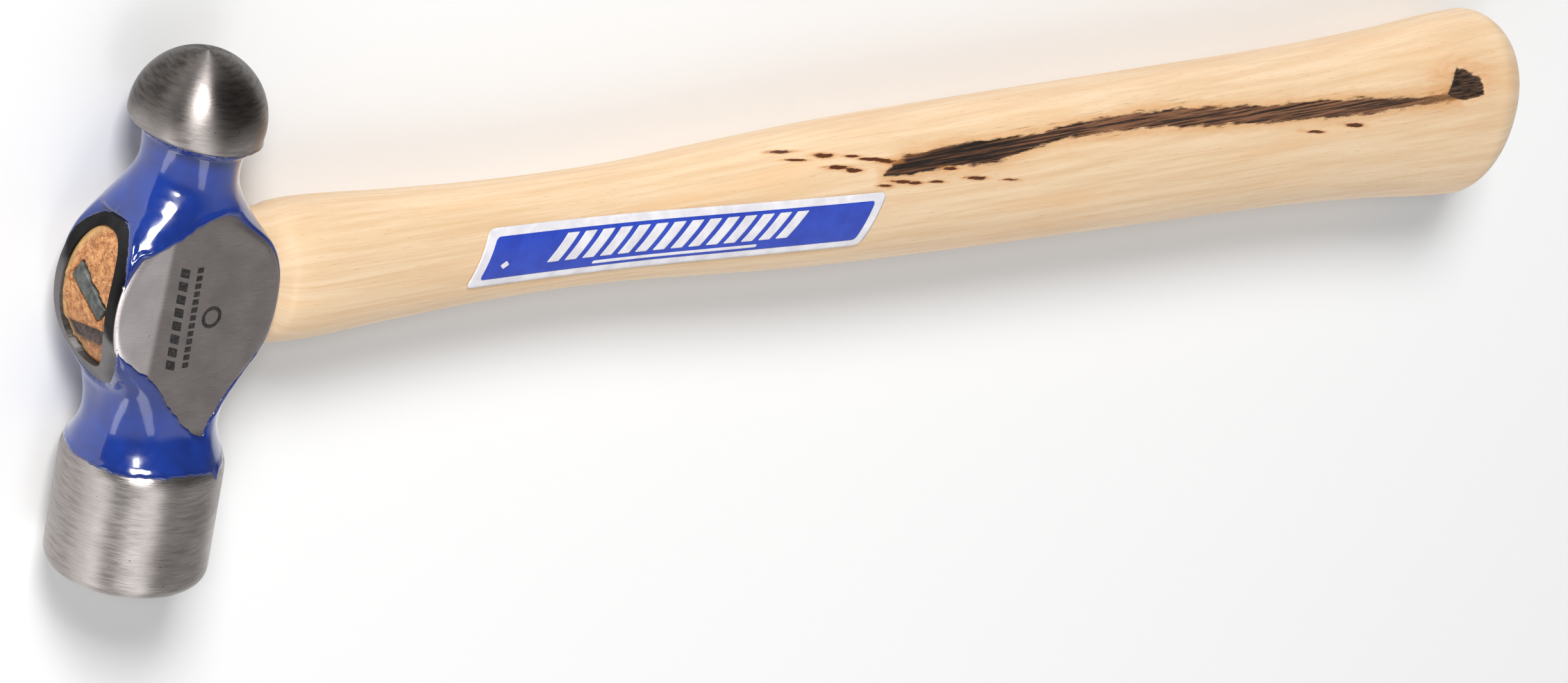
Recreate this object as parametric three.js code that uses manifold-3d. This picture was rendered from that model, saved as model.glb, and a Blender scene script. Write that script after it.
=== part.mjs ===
// Ball-peen hammer: a forged steel head on an oval hickory handle, lying on its side.
// Lengths are in millimetres. While the parts are made, the origin is the middle of the eye:
// +X runs along the handle to its butt, +Y along the head to the ball, +Z out of one cheek.
// The finished group is then moved so that its origin is on the ground under its middle.

import * as THREE from "three";
import { ParametricGeometry } from "three/addons/geometries/ParametricGeometry.js";
import { mergeVertices } from "three/addons/utils/BufferGeometryUtils.js";
import Module from "manifold-3d";

// Head: the poll ends in the striking face, and the ball is at the other end.
const POLL_RADIUS = 12.7;
const POLL_TOP_Y = -29;
const FACE_Y = -47.4;
const FACE_CORNER = 2.6; // rounding between the striking face and the poll's side
const BALL_RADIUS = 10.5;
const BALL_Y = 27.9;
const BALL_LIP_Y = 26.2; // below this the ball's underside slopes in to the neck
const BALL_BASE_Y = 24.2;
const BALL_BASE_RADIUS = 7.2;
const CHEEK_Z = 8.35; // the cheeks are ground flat, this far from the middle
const CHEEK_LOW_Y = -20.5; // below this the grinding runs out of the cheek, short of the poll,
const CHEEK_RUN_OUT = 4; // in a curve of this radius
const CHEEK_HIGH_Y = 20;
const EYE_END_X = -15.8;
const END_CURVE = 22; // radius of the ground eye end, seen from a cheek
const END_LOW_Y = -14; // and how far along the head that grinding reaches
const END_HIGH_Y = 15;
const SIDES = 48; // of the head's round sections
const SOFTNESS = 16; // how crisply the neck's flats meet its rounds: higher is crisper

// Eye, and the end of the handle in it
const EYE_HALF_HEIGHT = 11.1;
const EYE_HALF_WIDTH = 5.9;
const EYE_POWER = 2.4; // 2 is an ellipse, higher is squarer
const GAP = 0.3;
const WOOD_RECESS = 0.35; // the end grain lies this far below the ground eye end

// Handle
const SHOULDER_X = 14.9;
const BUTT_START_X = 288;
const BUTT_X = 300;
const BUTT_POWER = 1.8;
const HANDLE_POWER = 2.15;

// Steel wedge, driven aslant across the end grain
const WEDGE = {
  width: 8.8,
  height: 13,
  thickTop: 2.8,
  thickTip: 0.8,
  slot: 0.2, // clearance on each side in the wood
  proud: 0.25, // how far it stands out of the end grain
  turn: THREE.MathUtils.degToRad(30.6), // of its width from the cheeks' direction
  y: 1.2,
  z: 0.5,
};

// Label on one side of the handle, a parallelogram
const LABEL = {
  length: 82.4,
  height: 9.7,
  lean: 3.3, // how much further along the handle its upper edge lies
  tilt: THREE.MathUtils.degToRad(-1.4),
  x: 94.6,
  y: -0.1,
  above: 0.25, // clearance over the wood
  thick: 0.2,
};

// Sections of the head along Y: how far it reaches towards the eye end, the handle and a cheek,
// how square its oval is on those two sides, and how far from the axis its slanting flats are.
const HEAD_SECTIONS = [
  // y, eyeEnd, handleSide, cheek, eyePower, handlePower, flats
  [-30.5, 12.65, 12.65, 12.65, 2.0, 2.0, 18],
  [-27.5, 12.6, 12.6, 12.55, 2.0, 2.0, 15],
  [-25.5, 11.95, 11.85, 11.5, 2.05, 2.1, 12.4],
  [-22.5, 10.8, 10.5, 9.6, 2.3, 2.6, 10.9],
  [-20.0, 10.4, 10.1, 8.75, 2.5, 3.4, 10.6],
  [-17.0, 10.4, 10.0, 8.6, 2.8, 5, 11.3],
  [-13.5, 11.2, 10.7, 8.6, 3.6, 8, 13.0],
  [-8.5, 14.7, 13.4, 8.65, 5.5, 14, 16],
  [-4.0, 16.0, 14.5, 8.8, 8, 14, 19],
  [0.0, 16.4, 14.75, 8.9, 9, 14, 19],
  [4.0, 16.1, 14.4, 8.8, 8, 12, 19],
  [8.5, 14.8, 13.0, 8.7, 6, 8, 16.2],
  [12.5, 12.3, 10.9, 8.6, 3.4, 4, 12.6],
  [16.0, 9.5, 8.8, 8.2, 2.4, 2.8, 9.6],
  [19.0, 8.1, 7.8, 7.8, 2.1, 2.2, 8.0],
  [22.0, 7.8, 7.7, 7.7, 2.0, 2.0, 8.0],
  [25.0, 8.0, 7.9, 7.9, 2.0, 2.0, 9],
];
// The ball's underside and the neck below it are forged askew: this much higher on one side.
const ASKEW = 1.1;
const ASKEW_ANGLE = THREE.MathUtils.degToRad(141);
const ASKEW_FROM_Y = 5;
const ASKEW_FULL_Y = 15;
const ASKEW_END_Y = BALL_Y + 0.7 * BALL_RADIUS; // from here up the ball is true again

// Sections of the handle along X: half its height (along Y) and half its thickness (along Z).
const HANDLE_SECTIONS = [
  // x, halfHeight, halfThickness
  [14.9, 10.8, 6.6],
  [19, 11.35, 8.0],
  [26, 11.35, 8.5],
  [40, 10.5, 8.2],
  [56, 9.8, 7.85],
  [72, 9.55, 7.7],
  [88, 9.85, 7.9],
  [108, 11.1, 8.8],
  [132, 12.35, 9.8],
  [165, 13.15, 10.4],
  [205, 13.8, 10.9],
  [240, 14.45, 11.2],
  [264, 15.65, 11.7],
  [280, 17.05, 12.2],
  [291, 17.6, 12.4],
];

const wasm = await Module();
wasm.setup();

// A three.js geometry as a manifold-3d solid.
function solid(geometry) {
  const bare = geometry.clone();
  bare.deleteAttribute("normal");
  bare.deleteAttribute("uv");
  const merged = mergeVertices(bare, 1e-4);
  const corners = merged.index.array;
  const triangles = [];
  for (let i = 0; i < corners.length; i += 3) {
    const [a, b, c] = corners.slice(i, i + 3);
    if (a !== b && b !== c && c !== a) triangles.push(a, b, c);
  }
  return new wasm.Manifold(
    new wasm.Mesh({
      numProp: 3,
      vertProperties: merged.attributes.position.array,
      triVerts: new Uint32Array(triangles),
    }),
  );
}

// A manifold-3d solid as a three.js geometry.
function geometryOf(made) {
  const mesh = made.getMesh();
  const geometry = new THREE.BufferGeometry();
  geometry.setAttribute("position", new THREE.BufferAttribute(mesh.vertProperties, 3));
  geometry.setIndex(new THREE.BufferAttribute(mesh.triVerts, 1));
  geometry.computeVertexNormals();
  return geometry;
}

// The values of a table of sections at a place, on a smooth curve through its rows.
function sectionAt(table, place) {
  const last = table.length - 1;
  const next = table.findIndex((row) => row[0] > place);
  const i = next < 0 ? last - 1 : Math.max(next - 1, 0);
  const [before, from, to, after] = [i - 1, i, i + 1, i + 2].map(
    (k) => table[THREE.MathUtils.clamp(k, 0, last)],
  );
  const span = to[0] - from[0];
  const t = THREE.MathUtils.clamp((place - from[0]) / span, 0, 1);
  return from.slice(1).map((start, k) => {
    const end = to[k + 1];
    const slopeIn = ((end - before[k + 1]) * span) / (to[0] - before[0]);
    const slopeOut = ((after[k + 1] - start) * span) / (after[0] - from[0]);
    const bend = t * (1 - t) * ((1 - t) * (slopeIn - end + start) - t * (slopeOut - end + start));
    return start + (end - start) * t + bend;
  });
}

// A closed surface that sweeps a section along a line and closes to a point at both ends.
// setPoint puts in target the point at a place and an angle, with its radius times scale.
function loft(from, to, steps, sides, setPoint) {
  const rings = steps + 2;
  const surface = (u, v, target) => {
    const ring = Math.round(v * rings);
    const along = THREE.MathUtils.clamp((ring - 1) / steps, 0, 1);
    const scale = ring === 0 || ring === rings ? 0 : 1;
    setPoint(from + (to - from) * along, (u % 1) * 2 * Math.PI, scale, target);
  };
  return new ParametricGeometry(surface, sides, rings);
}

// How far a superellipse reaches from its middle, at an angle from its first axis.
function ovalRadius(halfFirst, halfSecond, power, angle) {
  const first = Math.abs(Math.cos(angle) / halfFirst) ** power;
  const second = Math.abs(Math.sin(angle) / halfSecond) ** power;
  return (first + second) ** (-1 / power);
}

// How far the head reaches from its axis, at an angle from +X towards -Z: an oval with four flats.
function headRadius([eyeEnd, handleSide, cheek, eyePower, handlePower, flats], angle) {
  const oval =
    Math.cos(angle) < 0
      ? ovalRadius(eyeEnd, cheek, eyePower, angle)
      : ovalRadius(handleSide, cheek, handlePower, angle);
  const slant = Math.max(Math.abs(Math.cos(angle)), Math.abs(Math.sin(angle)));
  const flat = flats / Math.cos(Math.acos(slant) - Math.PI / 4);
  return (oval ** -SOFTNESS + flat ** -SOFTNESS) ** (-1 / SOFTNESS);
}

// How much higher the askew neck and ball are, at a height and an angle from +X towards -Z.
function askewLift(y, angle) {
  const share = THREE.MathUtils.smoothstep(y, ASKEW_FROM_Y, ASKEW_FULL_Y);
  const fade = 1 - THREE.MathUtils.smoothstep(y, BALL_LIP_Y, ASKEW_END_Y);
  return ASKEW * Math.cos(angle - ASKEW_ANGLE) * share * fade;
}

// The body and both necks of the head.
function neckAndBody() {
  const low = HEAD_SECTIONS[0][0];
  const high = HEAD_SECTIONS.at(-1)[0];
  return loft(low, high, 44, SIDES, (y, angle, scale, target) => {
    const radius = scale * headRadius(sectionAt(HEAD_SECTIONS, y), angle);
    const raised = y + scale * askewLift(y, angle);
    target.set(radius * Math.cos(angle), raised, -radius * Math.sin(angle));
  });
}

// The round poll, with its striking face.
function poll() {
  const inner = POLL_RADIUS - FACE_CORNER;
  const outline = new THREE.Path();
  outline.moveTo(0, FACE_Y);
  outline.lineTo(inner, FACE_Y);
  outline.absarc(inner, FACE_Y + FACE_CORNER, FACE_CORNER, -Math.PI / 2, 0, false);
  outline.lineTo(POLL_RADIUS, POLL_TOP_Y);
  outline.lineTo(0, POLL_TOP_Y);
  return new THREE.LatheGeometry(outline.getPoints(5), SIDES);
}

// The ball, whose underside slopes in to the neck.
function ball() {
  const lipAngle = -Math.asin((BALL_Y - BALL_LIP_Y) / BALL_RADIUS);
  const outline = new THREE.Path();
  outline.moveTo(0, BALL_BASE_Y);
  outline.lineTo(BALL_BASE_RADIUS, BALL_BASE_Y);
  outline.absarc(0, BALL_Y, BALL_RADIUS, lipAngle, Math.PI / 2, false);
  const turned = new THREE.LatheGeometry(outline.getPoints(14), SIDES);
  const points = turned.attributes.position;
  for (let i = 0; i < points.count; i++) {
    const [x, y, z] = [points.getX(i), points.getY(i), points.getZ(i)];
    const radius = Math.hypot(x, z);
    const lifted = y + askewLift(y, Math.atan2(-z, x)) * Math.min(1, radius / BALL_BASE_RADIUS);
    const onDome = y > BALL_LIP_Y && radius > 0.01;
    const scale = onDome ? Math.sqrt(BALL_RADIUS ** 2 - (lifted - BALL_Y) ** 2) / radius : 1;
    points.setXYZ(i, x * scale, lifted, z * scale);
  }
  return turned;
}

// What the grinding takes off one cheek. side is +1 or -1.
function cheekWaste(side) {
  const top = CHEEK_Z + 10;
  const width = 60;
  const outline = new THREE.Shape();
  outline.moveTo(CHEEK_HIGH_Y, top);
  outline.lineTo(CHEEK_HIGH_Y, CHEEK_Z);
  outline.lineTo(CHEEK_LOW_Y, CHEEK_Z);
  outline.absarc(CHEEK_LOW_Y, CHEEK_Z + CHEEK_RUN_OUT, CHEEK_RUN_OUT, -Math.PI / 2, -Math.PI, true);
  outline.lineTo(CHEEK_LOW_Y - CHEEK_RUN_OUT, top);
  const waste = new THREE.ExtrudeGeometry(outline, { depth: width, bevelEnabled: false, curveSegments: 8 });
  waste.translate(0, 0, -width / 2).rotateY(Math.PI / 2).rotateX(Math.PI / 2);
  return side > 0 ? waste : waste.rotateY(Math.PI);
}

// The cylinder that the ground eye end follows, or one that lies inside it by depth.
function endCylinder(depth) {
  const cylinder = new THREE.CylinderGeometry(END_CURVE - depth, END_CURVE - depth, 60, 2 * SIDES);
  return solid(cylinder.rotateX(Math.PI / 2).translate(EYE_END_X + END_CURVE, 0, 0));
}

// What the grinding takes off the eye end.
function endWaste() {
  const length = 30;
  const waste = new THREE.BoxGeometry(length, END_HIGH_Y - END_LOW_Y, 40);
  const block = waste.translate(-length / 2, (END_HIGH_Y + END_LOW_Y) / 2, 0);
  return solid(block).subtract(endCylinder(0));
}

// A straight bar along X with the section of the eye.
function eyeBar(from, to, clearance) {
  return loft(from, to, 1, SIDES, (x, angle, scale, target) => {
    const [height, width] = [EYE_HALF_HEIGHT - clearance, EYE_HALF_WIDTH - clearance];
    const radius = scale * ovalRadius(height, width, EYE_POWER, angle);
    target.set(x, radius * Math.cos(angle), radius * Math.sin(angle));
  });
}

function head() {
  const forging = solid(neckAndBody()).add(solid(poll())).add(solid(ball()));
  const ground = forging
    .subtract(endWaste())
    .subtract(solid(cheekWaste(1)))
    .subtract(solid(cheekWaste(-1)));
  return ground.subtract(solid(eyeBar(-40, 40, 0)));
}

// The shaped handle from its shoulder to its rounded butt.
function grip() {
  const buttLength = BUTT_X - BUTT_START_X;
  return loft(SHOULDER_X, BUTT_X, 60, 36, (x, angle, scale, target) => {
    const [halfHeight, halfThickness] = sectionAt(HANDLE_SECTIONS, Math.min(x, BUTT_START_X));
    const along = Math.max(0, x - BUTT_START_X) / buttLength;
    const rounding = (1 - along ** BUTT_POWER) ** (1 / BUTT_POWER);
    const radius = scale * rounding * ovalRadius(halfHeight, halfThickness, HANDLE_POWER, angle);
    target.set(x, radius * Math.cos(angle), radius * Math.sin(angle));
  });
}

// The wedge, or with clearance the slot that it splits in the wood. The end grain is at y = 0,
// and above is how far it goes on, straight, out of the wood.
function wedge(clearance, above) {
  const half = WEDGE.thickTop / 2 + clearance;
  const tip = WEDGE.thickTip / 2 + clearance;
  const bottom = -WEDGE.height - clearance;
  const outline = new THREE.Shape([
    new THREE.Vector2(-half, above),
    new THREE.Vector2(-half, 0),
    new THREE.Vector2(-tip, bottom),
    new THREE.Vector2(tip, bottom),
    new THREE.Vector2(half, 0),
    new THREE.Vector2(half, above),
  ]);
  const width = WEDGE.width + 2 * clearance;
  const geometry = new THREE.ExtrudeGeometry(outline, { depth: width, bevelEnabled: false });
  return geometry.translate(0, 0, -width / 2);
}

// Stands a wedge in the end of the handle: its top faces -X and its width runs aslant.
function placeWedge(geometry) {
  geometry.rotateZ(Math.PI / 2);
  geometry.rotateX(WEDGE.turn);
  return geometry.translate(EYE_END_X + WOOD_RECESS, WEDGE.y, WEDGE.z);
}

function handle() {
  const tenon = solid(eyeBar(-40, SHOULDER_X + 2, GAP)).intersect(endCylinder(WOOD_RECESS));
  return tenon.add(solid(grip())).subtract(solid(placeWedge(wedge(WEDGE.slot, 5))));
}

// The side of the handle that faces +Z, above a point of the XY plane.
function handleTop(x, y) {
  const [halfHeight, halfThickness] = sectionAt(HANDLE_SECTIONS, x);
  return halfThickness * (1 - Math.abs(y / halfHeight) ** HANDLE_POWER) ** (1 / HANDLE_POWER);
}

// A thin sheet that follows the side of the handle.
function label() {
  const sheet = new THREE.BoxGeometry(1, 1, 1, 24, 6, 1);
  const points = sheet.attributes.position;
  for (let i = 0; i < points.count; i++) {
    const across = points.getY(i) * LABEL.height;
    const along = points.getX(i) * LABEL.length + points.getY(i) * LABEL.lean;
    const x = LABEL.x + along * Math.cos(LABEL.tilt) - across * Math.sin(LABEL.tilt);
    const y = LABEL.y + along * Math.sin(LABEL.tilt) + across * Math.cos(LABEL.tilt);
    const rise = LABEL.above + (points.getZ(i) + 0.5) * LABEL.thick;
    points.setXYZ(i, x, y, handleTop(x, y) + rise);
  }
  return sheet;
}

const hammer = new THREE.Group();
hammer.name = "ball_peen_hammer";

function addPart(name, geometry, look) {
  const mesh = new THREE.Mesh(geometry, new THREE.MeshStandardMaterial(look));
  mesh.name = name;
  hammer.add(mesh);
}

addPart("hammer_head", geometryOf(head()), { color: 0x1f49a5, roughness: 0.25, metalness: 0.2 });
addPart("handle", geometryOf(handle()), { color: 0xf0d3a2, roughness: 0.45, metalness: 0 });
addPart("steel_wedge", placeWedge(wedge(0, WEDGE.proud)), { color: 0x5f6462, roughness: 0.4, metalness: 1 });
addPart("label", label(), { color: 0x3e5acd, roughness: 0.35, metalness: 0 });

// The origin goes to the middle of the hammer's box, at its lowest point.
const box = new THREE.Box3().setFromObject(hammer);
const middle = box.getCenter(new THREE.Vector3());
hammer.position.set(-middle.x, -middle.y, -box.min.z);

export default hammer;
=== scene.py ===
"""Ball-peen hammer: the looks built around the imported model.

Shapes are made in millimetres from the middle of the hammer's eye: +X to the butt, +Y to the
ball, +Z out of the shown cheek. place() takes them to the row frame, in metres.
"""

import math

import bpy
import numpy as np
from mathutils import Matrix, Vector


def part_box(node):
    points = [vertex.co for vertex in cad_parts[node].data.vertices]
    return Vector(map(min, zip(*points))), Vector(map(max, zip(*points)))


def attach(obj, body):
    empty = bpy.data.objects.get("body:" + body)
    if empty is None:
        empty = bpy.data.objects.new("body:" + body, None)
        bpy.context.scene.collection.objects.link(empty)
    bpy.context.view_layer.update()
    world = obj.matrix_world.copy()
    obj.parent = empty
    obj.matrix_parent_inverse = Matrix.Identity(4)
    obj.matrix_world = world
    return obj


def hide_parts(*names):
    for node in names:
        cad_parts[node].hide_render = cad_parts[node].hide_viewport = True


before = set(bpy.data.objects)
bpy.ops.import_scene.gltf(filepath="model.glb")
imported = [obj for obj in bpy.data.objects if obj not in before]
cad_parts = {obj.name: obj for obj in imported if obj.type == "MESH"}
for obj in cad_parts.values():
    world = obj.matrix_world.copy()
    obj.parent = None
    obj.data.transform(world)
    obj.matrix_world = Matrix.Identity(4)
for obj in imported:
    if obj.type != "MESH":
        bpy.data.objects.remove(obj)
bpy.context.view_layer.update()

MM = 0.001
TURN = 2 * math.pi

# Head
POLL_RADIUS = 12.7
FACE_Y = -47.4
FACE_CORNER = 2.6
BALL_RADIUS = 10.5
BALL_Y = 27.9
BALL_LIP_Y = 26.2  # the ball's edge over the neck
BALL_BASE_Y = 24.2  # where its underside meets the neck
BALL_BASE_RADIUS = 7.2
CHEEK_Z = 8.35
CHEEK_LOW_Y = -20.5  # below this the grinding runs out of the cheek
CHEEK_RUN_OUT = 4  # in a curve of this radius
EYE_END_X = -15.8
END_CURVE = 22
END_LOW_Y = -14
END_HIGH_Y = 13.2
END_FADE = 3  # how steeply the ground eye end leaves the forging past those heights
GROUND_END_Y = -0.45  # the middle of the ground eye end, which is an oval
GROUND_END_HALF_HEIGHT = 13.4
GROUND_END_HALF_WIDTH = 8.45
GROUND_END_POWER = 2.2
FLAT_SOFTNESS = 16
EDGE_SOFTNESS = 130  # of the ground edges: higher is crisper
NECK_SOFTNESS = 30
ASKEW = 1.1  # the neck under the ball sits this much higher on one side
ASKEW_ANGLE = math.radians(219)
ASKEW_START_Y, ASKEW_FULL_Y = 5, 15  # and this lift grows between these heights
ASKEW_END_Y = BALL_Y + 0.7 * BALL_RADIUS  # and is gone up here
ENAMEL_LOW_Y = -26.7
DRIP_ANGLE = math.radians(62)

# Painted tones that stand in for reflections: pale bands on the poll, and a dark ball with one
# paler side. They are part of the colour, so they stay in the same places from every side.
POLL_GLINT_ANGLES = (math.radians(158), math.radians(121))
BALL_GLINT_ANGLE = math.radians(128)

# Eye and wedge
EYE_HALF_HEIGHT = 11.1
EYE_HALF_WIDTH = 5.9
EYE_POWER = 2.4
TENON_GAP = 0.06
WOOD_RECESS = 0.32
WEDGE_WIDTH = 8.8
WEDGE_THICK = 2.8
WEDGE_PROUD = 0.22
WEDGE_DEPTH = 6.0  # how deep it is drawn, and how much thinner it is there
WEDGE_NARROWING = 0.7
WEDGE_TURN = math.radians(30.6)
WEDGE_Y = 1.2
WEDGE_Z = 0.5

# Handle
TENON_X = 11  # the handle is plain inside the eye up to here
FLARE_X = 18.5  # and has its full section from here
DENSE_X = (112, 172)  # its rings are closest together here
END_ROWS = 72  # rings over its end grain
FACET_Y = -4.4  # the top edge of the end grain's lower facet
FACET_SLANT = 0.2
BUTT_START_X = 288
BUTT_X = 300
BUTT_POWER = 1.8
HANDLE_POWER = 2.15

# Radii that turn angles round the handle into millimetres
GRAIN_RADIUS = 10
FLECK_RADIUS = 11
STREAK_RADIUS = 11.5
KNOT_RADIUS = 14

# Label
LABEL_LENGTH = 82.4
LABEL_HEIGHT = 9.7
LABEL_LEAN = 3.3
LABEL_TILT = math.radians(-1.4)
LABEL_X = 94.6
LABEL_Y = -0.1
MARK_PITCH = 51 / 14  # fourteen slanting bars in 51 mm

# Sections of the head along Y: reach towards the eye end, the handle and a cheek, squareness on
# those two sides, and how far from the axis the slanting flats are.
HEAD_SECTIONS = np.array([
    [-29.0, 12.7, 12.7, 12.7, 2.0, 2.0, 18],
    [-27.5, 12.6, 12.6, 12.55, 2.0, 2.0, 15],
    [-25.5, 11.95, 11.85, 11.5, 2.05, 2.1, 12.4],
    [-22.5, 10.8, 10.5, 9.6, 2.3, 2.6, 10.9],
    [-20.0, 10.4, 10.1, 8.75, 2.5, 3.4, 10.6],
    [-17.0, 10.4, 10.0, 8.6, 2.8, 5, 11.3],
    [-13.5, 11.2, 10.7, 8.6, 3.6, 8, 13.0],
    [-8.5, 14.7, 13.4, 8.65, 5.5, 14, 16],
    [-4.0, 16.0, 14.5, 8.8, 8, 14, 19],
    [0.0, 16.4, 14.75, 8.9, 9, 14, 19],
    [4.0, 16.1, 14.4, 8.8, 8, 12, 19],
    [8.5, 14.8, 13.0, 8.7, 6, 8, 16.2],
    [12.5, 12.3, 10.9, 8.6, 3.4, 4, 12.6],
    [16.0, 9.5, 8.8, 8.2, 2.4, 2.8, 9.6],
    [19.0, 8.1, 7.8, 7.8, 2.1, 2.2, 8.0],
    [22.0, 7.8, 7.7, 7.7, 2.0, 2.0, 8.0],
    [25.0, 8.0, 7.9, 7.9, 2.0, 2.0, 9],
])

# Sections of the handle along X: half its height (along Y) and half its thickness (along Z).
HANDLE_SECTIONS = np.array([
    [14.9, 10.8, 6.6],
    [19, 11.35, 8.0],
    [26, 11.35, 8.5],
    [40, 10.5, 8.2],
    [56, 9.8, 7.85],
    [72, 9.55, 7.7],
    [88, 9.85, 7.9],
    [108, 11.1, 8.8],
    [132, 12.35, 9.8],
    [165, 13.15, 10.4],
    [205, 13.8, 10.9],
    [240, 14.45, 11.2],
    [264, 15.65, 11.7],
    [280, 17.05, 12.2],
    [291, 17.6, 12.4],
])

# Outline of the bare, ground patch on the shown cheek, as (X, Y)
CHEEK_PATCH = [
    (3.2, 14.6), (5.1, 14.0), (7.7, 12.7), (10.7, 9.7), (12.8, 6.8), (14.8, 2.4), (15.0, -1.3),
    (13.8, -6.5), (10.5, -11.5), (7.4, -15.4), (5.2, -18.8), (3.6, -21.9), (-1.4, -17.9),
    (-4.0, -14.8), (-6.4, -11.6), (-8.7, -9.9), (-11.4, -8.0), (-14.2, -5.5), (-15.9, -2.4),
    (-16.4, 0.4), (-16.1, 3.9), (-14.7, 7.4), (-13.2, 8.5), (-11.1, 9.5), (-7.8, 10.7),
    (-4.1, 12.6), (-0.3, 14.5),
]

# The dark mineral streak along the handle: X and the two angles, from +Y towards +Z, between
# which it runs there
STREAK = np.array([
    [137, 54, 56],
    [141, 44, 57],
    [147.5, 41, 56],
    [154.5, 39, 56],
    [161, 40, 57],
    [168, 40, 52],
    [175, 39, 47],
    [181.5, 37, 46],
    [189, 36, 46],
    [201, 36, 48],
    [211.5, 39, 52],
    [230, 45, 57],
    [249, 49, 61],
    [262, 54, 61],
    [275, 56, 59.5],
])
# The knot at its end, and the flecks at its start, as (X, angle)
KNOT = [(272.5, 57), (275.5, 37), (277.5, 40), (281.5, 48), (282.3, 60), (277.5, 63)]
FLECKS = [
    (117, 21), (119.5, 31), (125, 31), (130.5, 35), (127.5, 43), (130.5, 47), (134.5, 40),
    (137.5, 43), (137, 64), (141, 63), (143.5, 65), (148.5, 67), (151.5, 57), (157.5, 69),
    (165.5, 75), (239, 71), (249, 70),
]

# The middle of the eye in the row frame: the butt, the striking face and the head's middle
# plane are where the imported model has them.
head_low, head_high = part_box("hammer_head")
EYE = Vector((
    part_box("handle")[1].x - BUTT_X * MM,
    head_low.y - FACE_Y * MM,
    (head_low.z + head_high.z) / 2,
))


def place(points):
    """Points in millimetres from the middle of the eye, as metres in the row frame."""
    return np.asarray(points, float) * MM + np.array(EYE)


# ---------------- shapes


def smoothstep(low, high, value):
    t = np.clip((value - low) / (high - low), 0, 1)
    return t * t * (3 - 2 * t)


def waves(seed, *coordinates):
    """Smooth noise, mostly between -1 and 1, from a few sine waves in seeded directions.

    The coordinates are in the noise's own unit: a feature is about one unit wide.
    """
    rng = np.random.default_rng(seed)
    total = 0
    count = 9
    for _ in range(count):
        direction = rng.normal(size=len(coordinates))
        direction *= rng.uniform(1.2, 3.4) / np.linalg.norm(direction)
        along = sum(d * c for d, c in zip(direction, coordinates))
        total = total + np.sin(along + rng.uniform(0, TURN))
    return total / math.sqrt(count / 2) / 1.6


def section_at(table, place_along):
    """The values of a table of sections at each place, on a smooth curve through its rows."""
    at = table[:, 0]
    last = len(at) - 1
    i = np.clip(np.searchsorted(at, place_along, side="right") - 1, 0, last - 1)
    before, after = np.maximum(i - 1, 0), np.minimum(i + 2, last)
    span = at[i + 1] - at[i]
    t = np.clip((place_along - at[i]) / span, 0, 1)[..., None]
    start, end = table[i, 1:], table[i + 1, 1:]
    slope_in = (end - table[before, 1:]) * (span / (at[i + 1] - at[before]))[..., None]
    slope_out = (table[after, 1:] - start) * (span / (at[after] - at[i]))[..., None]
    bend = t * (1 - t) * ((1 - t) * (slope_in - end + start) - t * (slope_out - end + start))
    return start + (end - start) * t + bend


def oval_radius(half_first, half_second, power, angle):
    first = np.abs(np.cos(angle) / half_first) ** power
    second = np.abs(np.sin(angle) / half_second) ** power
    return (first + second) ** (-1 / power)


def soft_least(softness, *values):
    return sum(v**-softness for v in values) ** (-1 / softness)


def end_reach(y):
    """How far the ground eye end is from the head's axis, at y. It fades out past its ends."""
    beyond = np.maximum(0, END_LOW_Y - y) + np.maximum(0, y - END_HIGH_Y)
    curve = np.sqrt(END_CURVE**2 - np.clip(y, END_LOW_Y, END_HIGH_Y) ** 2) - END_CURVE
    return curve - EYE_END_X + END_FADE * beyond


def cheek_reach(y):
    """How far the ground cheeks are from the middle, at y. They run out short of the poll."""
    beyond = np.maximum(0, CHEEK_LOW_Y - y)
    return CHEEK_Z + beyond**2 / (2 * CHEEK_RUN_OUT)


def neck_radius(angle, y):
    """How far the forged neck and body reach from the axis."""
    section = np.moveaxis(section_at(HEAD_SECTIONS, y), -1, 0)
    eye_end, handle_side, cheek, eye_power, handle_power, flats = section
    near_eye_end = oval_radius(eye_end, cheek, eye_power, angle)
    near_handle = oval_radius(handle_side, cheek, handle_power, angle)
    oval = np.where(np.cos(angle) < 0, near_eye_end, near_handle)
    slant = np.maximum(np.abs(np.cos(angle)), np.abs(np.sin(angle)))
    flat = flats / np.cos(np.arccos(np.clip(slant, -1, 1)) - math.pi / 4)
    return soft_least(FLAT_SOFTNESS, oval, flat)


def head_rings():
    """The height and greatest radius of each ring of the head, from the striking face up.

    The body's rings have no greatest radius, and below 0 it is a least one, under the ball.
    """
    inner = POLL_RADIUS - FACE_CORNER
    quarter = np.linspace(0, math.pi / 2, 9)[1:]
    lip = -math.asin((BALL_Y - BALL_LIP_Y) / BALL_RADIUS)
    dome = np.linspace(lip, math.pi / 2, 46)
    rings = [(FACE_Y, r) for r in np.linspace(0.02, inner, 14)]
    rings += [
        (FACE_Y + FACE_CORNER * (1 - math.cos(t)), inner + FACE_CORNER * math.sin(t))
        for t in quarter
    ]
    poll_top = FACE_Y + FACE_CORNER
    neck_start = HEAD_SECTIONS[0, 0]
    rings += [(y, POLL_RADIUS) for y in np.linspace(poll_top, neck_start, 26)[1:]]
    rings += [(y, math.inf) for y in np.linspace(neck_start, BALL_BASE_Y, 186)[1:]]
    under = np.linspace(BALL_BASE_RADIUS, BALL_RADIUS * math.cos(lip), 9)
    rings += [(y, -r) for y, r in zip(np.linspace(BALL_BASE_Y, BALL_LIP_Y, 9), under)][1:]
    rings += [
        (BALL_Y + BALL_RADIUS * math.sin(t), BALL_RADIUS * max(math.cos(t), 0.001))
        for t in dome[1:]
    ]
    return np.array(rings)


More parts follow.
